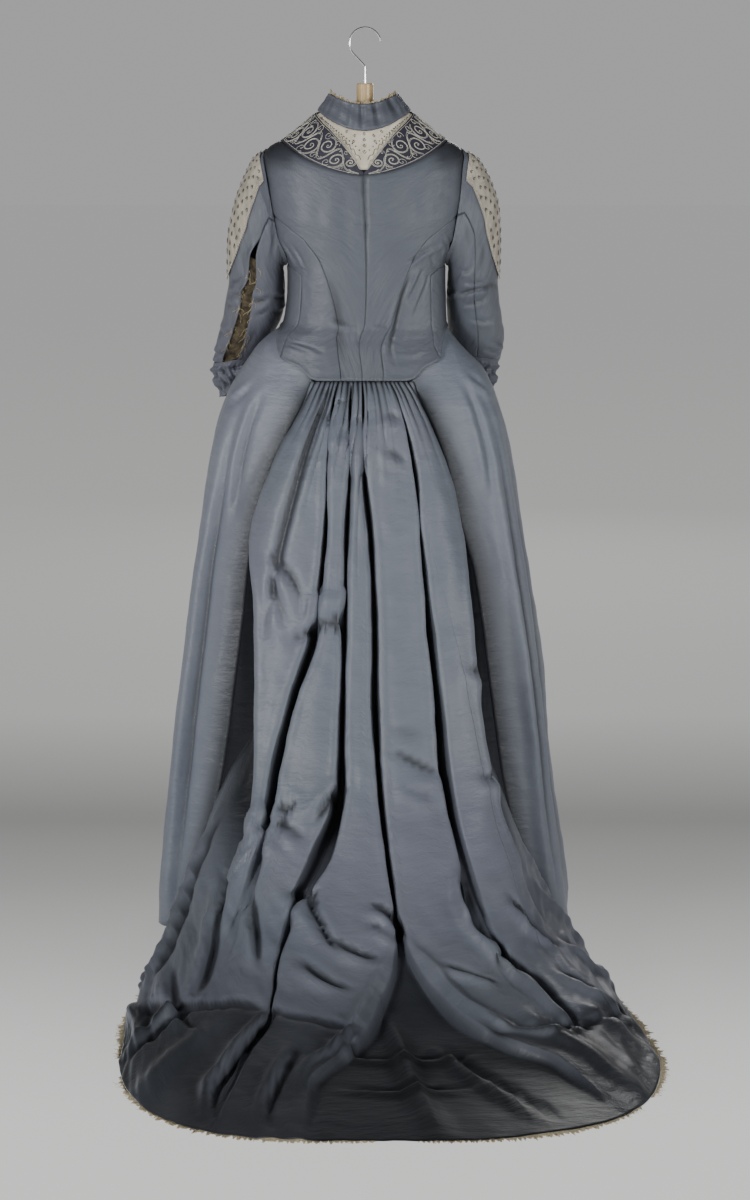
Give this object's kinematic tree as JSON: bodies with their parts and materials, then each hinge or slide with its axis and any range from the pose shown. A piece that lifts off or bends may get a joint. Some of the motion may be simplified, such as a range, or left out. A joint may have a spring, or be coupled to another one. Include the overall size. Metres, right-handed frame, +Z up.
{
  "type": "trained silk gown on a wooden hanger",
  "caption": "Late Victorian trained silk gown: boned bodice, stand collar, cream brocade yoke and sleeve insets, smooth side skirts and a gathered train, on a wooden hanger.",
  "frame": {"origin": "inner top of the hook's bend, where it hangs on a rail or peg", "axes": "+Z up; +X to the right as seen from behind the gown; the gown's front faces +Y and the train lies towards -Y"},
  "size_m": [0.8614, 1.3485, 1.6034],
  "materials": {
    "silk": "semi-gloss slate silk",
    "dark_silk": "dark slate silk with pale scrollwork",
    "cream": "cream brocade with dark sprigs",
    "lining": "matt brown lining",
    "lace": "frayed straw-coloured net",
    "wood": "light varnished wood",
    "chrome": "polished wire"
  },
  "bodies": {
    "root": {"back_left": "silk", "back_right": "silk", "side_back_left": "silk", "side_back_right": "silk", "underarm_left": "silk", "underarm_right": "silk", "front_left": "silk", "front_right": "silk", "collar": "silk", "side_gore_left": "silk", "side_gore_right": "silk", "front_breadth": "silk", "train_left": "silk", "train_centre": "silk", "train_right": "silk", "upper_sleeve_left": "silk", "upper_sleeve_right": "silk", "under_sleeve_left": "silk", "under_sleeve_right": "silk", "cuff_left": "silk", "cuff_right": "silk", "yoke_band_left": "dark_silk", "yoke_band_right": "dark_silk", "yoke_insert": "cream", "sleeve_inset_left": "cream", "sleeve_inset_right": "cream", "sleeve_lining_left": "lining", "collar_edging": "lace", "hem_lace_left": "lace", "hem_lace_middle_left": "lace", "hem_lace_middle_right": "lace", "hem_lace_right": "lace", "hanger_hook": "chrome", "hanger_neck": "wood", "hanger_arms": "wood"}
  },
  "joints": []
}
